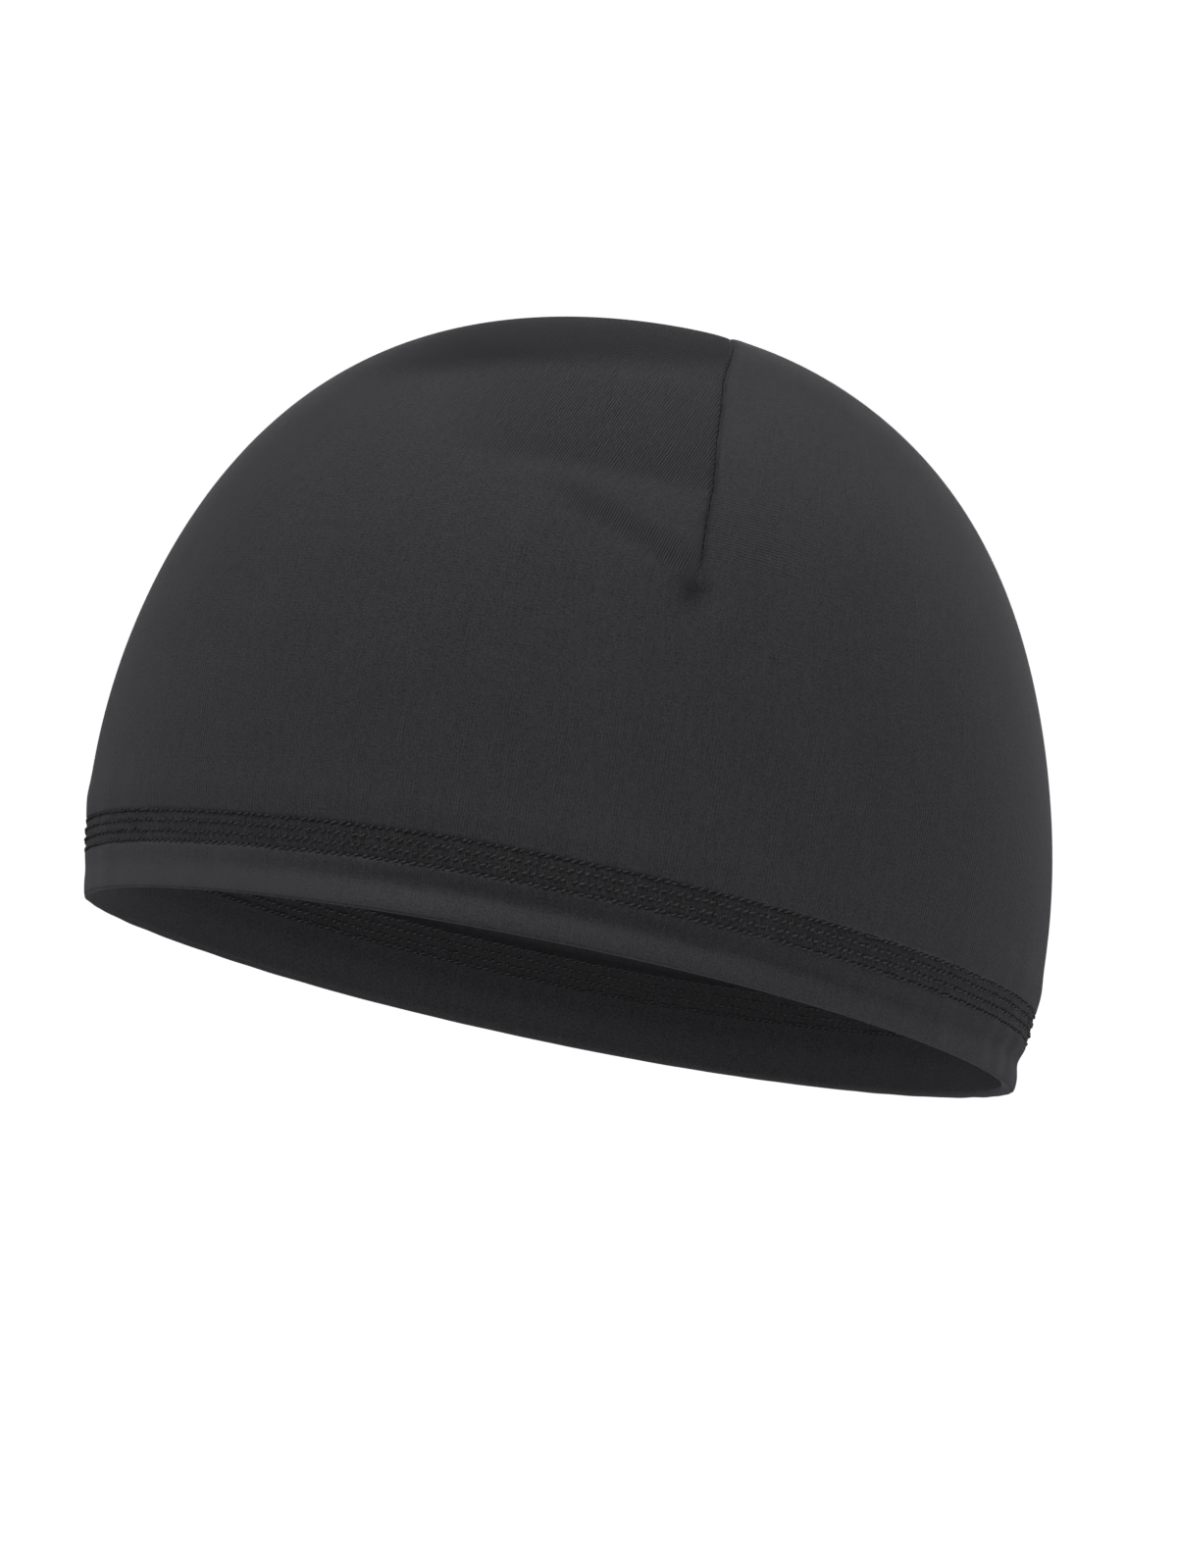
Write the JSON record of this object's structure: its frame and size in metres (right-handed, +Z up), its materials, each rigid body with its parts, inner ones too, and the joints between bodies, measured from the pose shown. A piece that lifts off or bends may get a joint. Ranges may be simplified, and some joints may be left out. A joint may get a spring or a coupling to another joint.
{
  "type": "skull cap",
  "caption": "Close-fitting black stretch-knit skull cap with a dart over the top, a flat overlocked seam and a folded hem, shown in the form it takes on a head.",
  "frame": {"origin": "centre of the head opening, in the plane of the hem's lower edge, where the wearer's head fills the cap", "axes": "+Z up as worn, -Y to the brow, +Y to the nape, +X to the wearer's left; the opening is tilted 11.5 degrees, higher at the brow"},
  "size_m": [0.1512, 0.1994, 0.1603],
  "materials": {
    "crown_knit": "matt fine jersey",
    "dart_edge": "matt overlocked edge",
    "seam_knit": "matt, covered with stitches",
    "hem_knit": "matt fine jersey, doubled"
  },
  "bodies": {
    "root": {"crown": "crown_knit", "dart_strip": "dart_edge", "overlocked_seam": "seam_knit", "hem": "hem_knit"}
  },
  "joints": []
}
